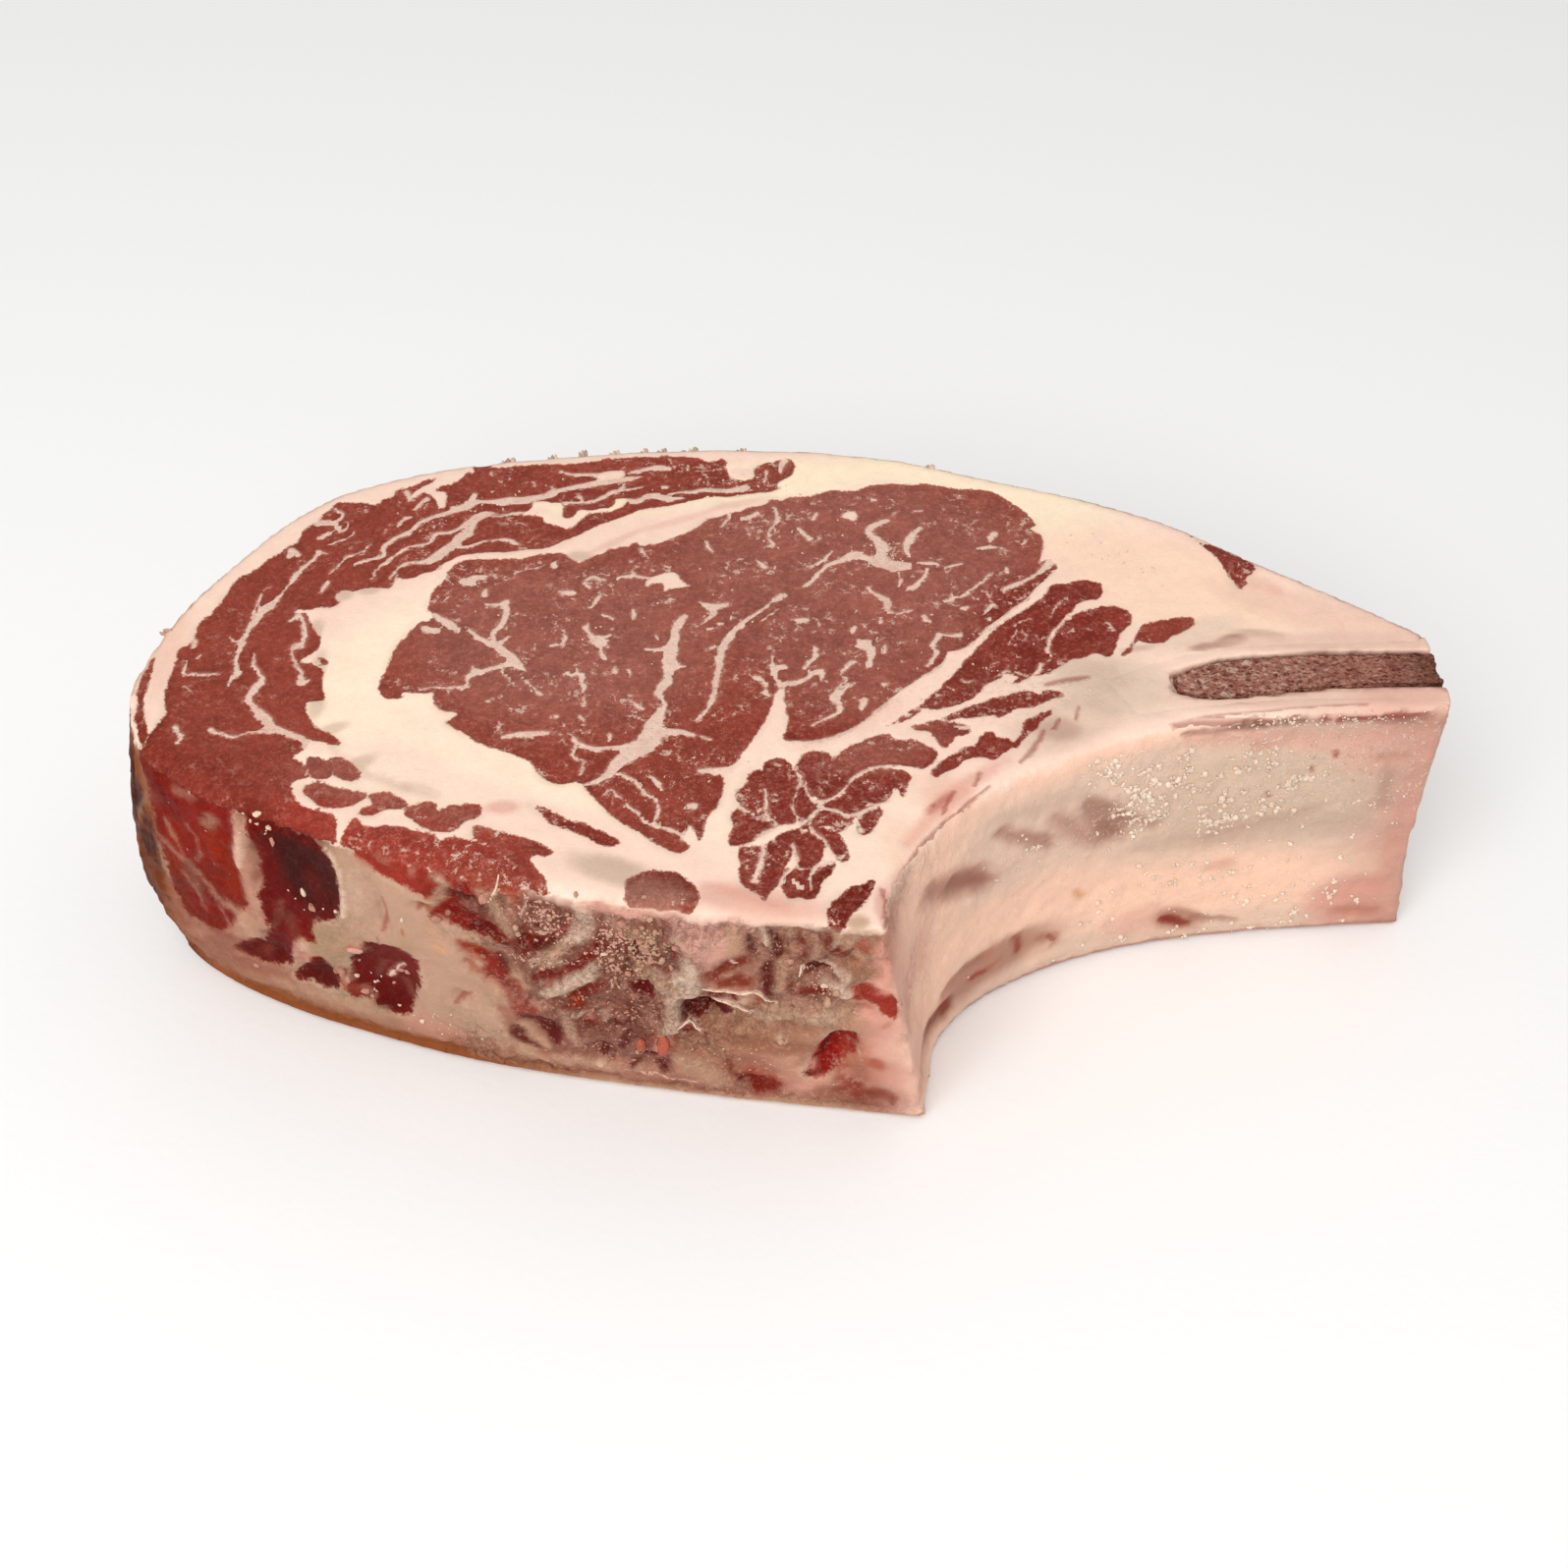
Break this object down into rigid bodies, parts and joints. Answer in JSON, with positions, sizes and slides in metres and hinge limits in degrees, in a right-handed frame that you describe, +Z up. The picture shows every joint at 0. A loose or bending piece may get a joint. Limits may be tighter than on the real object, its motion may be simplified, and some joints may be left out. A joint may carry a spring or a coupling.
{
  "type": "frozen bone-in ribeye steak",
  "caption": "Thick-cut marbled rib steak with a short curved length of sawn rib in its edge, lying flat on its lower cut face.",
  "frame": {"origin": "middle of the footprint, on the plane of the lower cut face that the steak lies on", "axes": "+Z up through the thickness, +X along the steak towards the sawn end of the rib, +Y towards the fat cap"},
  "size_m": [0.2317, 0.1254, 0.057],
  "materials": {
    "meat": "raw frozen beef, moist, marbled with cream fat",
    "bone": "sawn bone, pale pinkish cream",
    "marrow": "spongy bone, dark reddish brown, pitted"
  },
  "bodies": {
    "root": {"meat_and_fat": "meat", "rib_shell": "bone", "rib_core": "marrow"}
  },
  "joints": []
}
